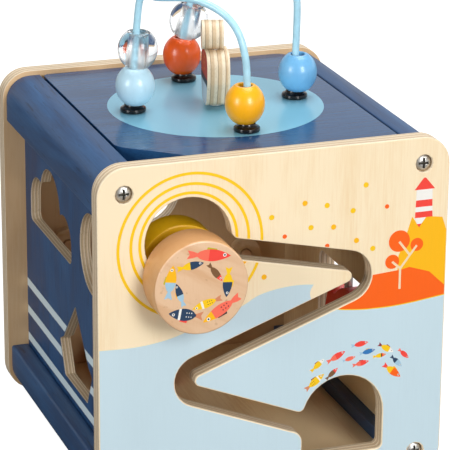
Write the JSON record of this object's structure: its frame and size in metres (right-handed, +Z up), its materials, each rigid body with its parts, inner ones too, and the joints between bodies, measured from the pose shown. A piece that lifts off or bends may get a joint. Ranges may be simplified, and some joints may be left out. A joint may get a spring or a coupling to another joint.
{
  "type": "baby activity cube",
  "caption": "Wooden activity cube with a zig-zag track slider, shape-sorting holes, gears, a turning fish in a window and a lift-off lid with a bead maze",
  "frame": {"origin": "middle of the cube's footprint, on the surface it stands on", "axes": "+Z up towards the bead maze, -Y out of the track panel, +Y out of the gear panel, -X out of the sorting panel, +X out of the window panel"},
  "size_m": [0.2, 0.244, 0.2689],
  "materials": {
    "birch_ply": "satin lacquer over birch plywood",
    "navy_stained_wood": "satin navy stain, pores showing",
    "screw_steel": "nickel-plated",
    "beech": "satin lacquer over beech",
    "yellow_lacquer": "satin yellow lacquer on wood",
    "amber_lacquer": "gloss amber lacquer on wood",
    "light_blue_lacquer": "gloss light-blue lacquer on wood",
    "blue_lacquer": "gloss blue lacquer on wood",
    "orange_lacquer": "gloss orange lacquer on wood",
    "red_lacquer": "satin red lacquer on wood",
    "clear_acrylic": "clear polished acrylic",
    "black_plastic": "gloss black",
    "coated_wire": "light-blue plastic-coated steel wire"
  },
  "bodies": {
    "case": {"front_panel": "birch_ply", "back_panel": "birch_ply", "left_panel": "navy_stained_wood", "right_panel": "navy_stained_wood", "bottom_board": "birch_ply", "rail_top_left": "navy_stained_wood", "rail_top_right": "navy_stained_wood", "rail_bottom_left": "navy_stained_wood", "rail_bottom_right": "navy_stained_wood", "screw_front_top_left": "screw_steel", "screw_front_top_right": "screw_steel", "screw_front_bottom_left": "screw_steel", "screw_front_bottom_right": "screw_steel", "screw_back_top_left": "screw_steel", "screw_back_top_right": "screw_steel", "screw_back_bottom_left": "screw_steel", "screw_back_bottom_right": "screw_steel", "fish_rod": "screw_steel"},
    "lid": {"lid_board": "navy_stained_wood", "wire_front_left": "coated_wire", "wire_back_right": "coated_wire", "wire_foot_front": "black_plastic", "wire_foot_left": "black_plastic", "wire_foot_back": "black_plastic", "wire_foot_right": "black_plastic", "figure_pin": "screw_steel"},
    "figure_lower": {"figure_body": "birch_ply"},
    "figure_upper": {"figure_head": "birch_ply"},
    "yellow_bead": {"bead_yellow": "amber_lacquer"},
    "light_blue_bead": {"bead_light_blue": "light_blue_lacquer"},
    "clear_left_bead": {"bead_clear_left": "clear_acrylic"},
    "orange_bead": {"bead_orange": "orange_lacquer"},
    "clear_back_bead": {"bead_clear_back": "clear_acrylic"},
    "blue_bead": {"bead_blue": "blue_lacquer"},
    "slider_axle": {"slider_dowel": "beech"},
    "slider_discs": {"slider_fish_disc": "beech", "slider_rear_disc": "yellow_lacquer"},
    "right_gear": {"gear_right": "amber_lacquer", "gear_right_axle": "beech", "gear_right_keeper": "birch_ply"},
    "middle_gear": {"gear_middle": "light_blue_lacquer", "gear_middle_axle": "beech", "gear_middle_keeper": "birch_ply"},
    "left_gear": {"gear_left": "orange_lacquer", "gear_left_axle": "beech", "gear_left_keeper": "birch_ply"},
    "fish": {"turning_fish": "red_lacquer"},
    "cloud_block": {"block_cloud": "light_blue_lacquer"},
    "sun_block": {"block_sun": "amber_lacquer"},
    "boat_block": {"block_boat": "red_lacquer"}
  },
  "joints": [
    {"name": "lid_lift", "type": "slide", "parent": "case", "child": "lid", "axis": [0, 0, 1], "range_m": [0, 0.12]},
    {"name": "figure_body_spin", "type": "hinge", "parent": "lid", "child": "figure_lower", "pos_m": [0, 0, 0.215], "axis": [0, 0, 1], "continuous": true},
    {"name": "figure_head_spin", "type": "hinge", "parent": "lid", "child": "figure_upper", "pos_m": [0, 0, 0.238], "axis": [0, 0, 1], "continuous": true},
    {"name": "bead_yellow_slide", "type": "slide", "parent": "lid", "child": "yellow_bead", "axis": [0, 0, 1], "range_m": [0, 0.018]},
    {"name": "bead_light_blue_slide", "type": "slide", "parent": "lid", "child": "light_blue_bead", "axis": [0, 0, 1], "range_m": [0, 0.014]},
    {"name": "bead_clear_left_slide", "type": "slide", "parent": "lid", "child": "clear_left_bead", "axis": [0, 0, 1], "range_m": [0, 0.014]},
    {"name": "bead_orange_slide", "type": "slide", "parent": "lid", "child": "orange_bead", "axis": [0, 0, 1], "range_m": [0, 0.004]},
    {"name": "bead_clear_back_slide", "type": "slide", "parent": "lid", "child": "clear_back_bead", "axis": [0.1659, -0.176, 0.9703], "range_m": [0, 0.004]},
    {"name": "bead_blue_slide", "type": "slide", "parent": "lid", "child": "blue_bead", "axis": [0, 0, 1], "range_m": [0, 0.032]},
    {"name": "slider_travel", "type": "hinge", "parent": "case", "child": "slider_axle", "pos_m": [-0.0263, -0.1, 0.1188], "axis": [0, 1, 0], "range_deg": [0, 68]},
    {"name": "slider_spin", "type": "hinge", "parent": "slider_axle", "child": "slider_discs", "pos_m": [-0.0496, -0.1, 0.13695], "axis": [0, 1, 0], "continuous": true},
    {"name": "gear_right_spin", "type": "hinge", "parent": "case", "child": "right_gear", "pos_m": [0.05, 0.1, 0.073], "axis": [0, 1, 0], "continuous": true},
    {"name": "gear_middle_spin", "type": "hinge", "parent": "case", "child": "middle_gear", "pos_m": [-0.01, 0.1, 0.062], "axis": [0, 1, 0], "continuous": true},
    {"name": "gear_left_spin", "type": "hinge", "parent": "case", "child": "left_gear", "pos_m": [-0.0632, 0.1, 0.0918], "axis": [0, 1, 0], "continuous": true},
    {"name": "fish_spin", "type": "hinge", "parent": "case", "child": "fish", "pos_m": [0.0824, -0.003, 0.068], "axis": [0, 0, 1], "continuous": true},
    {"name": "block_cloud_lift", "type": "slide", "parent": "case", "child": "cloud_block", "axis": [0, 0, 1], "range_m": [0, 0.06]},
    {"name": "block_sun_lift", "type": "slide", "parent": "case", "child": "sun_block", "axis": [0, 0, 1], "range_m": [0, 0.02]},
    {"name": "block_boat_lift", "type": "slide", "parent": "case", "child": "boat_block", "axis": [0, 0, 1], "range_m": [0, 0.02]}
  ],
  "couplings": [
    {"joint": "bead_clear_left_slide", "follows": "bead_light_blue_slide", "ratio": 1},
    {"joint": "bead_clear_back_slide", "follows": "bead_orange_slide", "ratio": 1},
    {"joint": "gear_middle_spin", "follows": "gear_right_spin", "ratio": -1},
    {"joint": "gear_left_spin", "follows": "gear_right_spin", "ratio": 1}
  ]
}
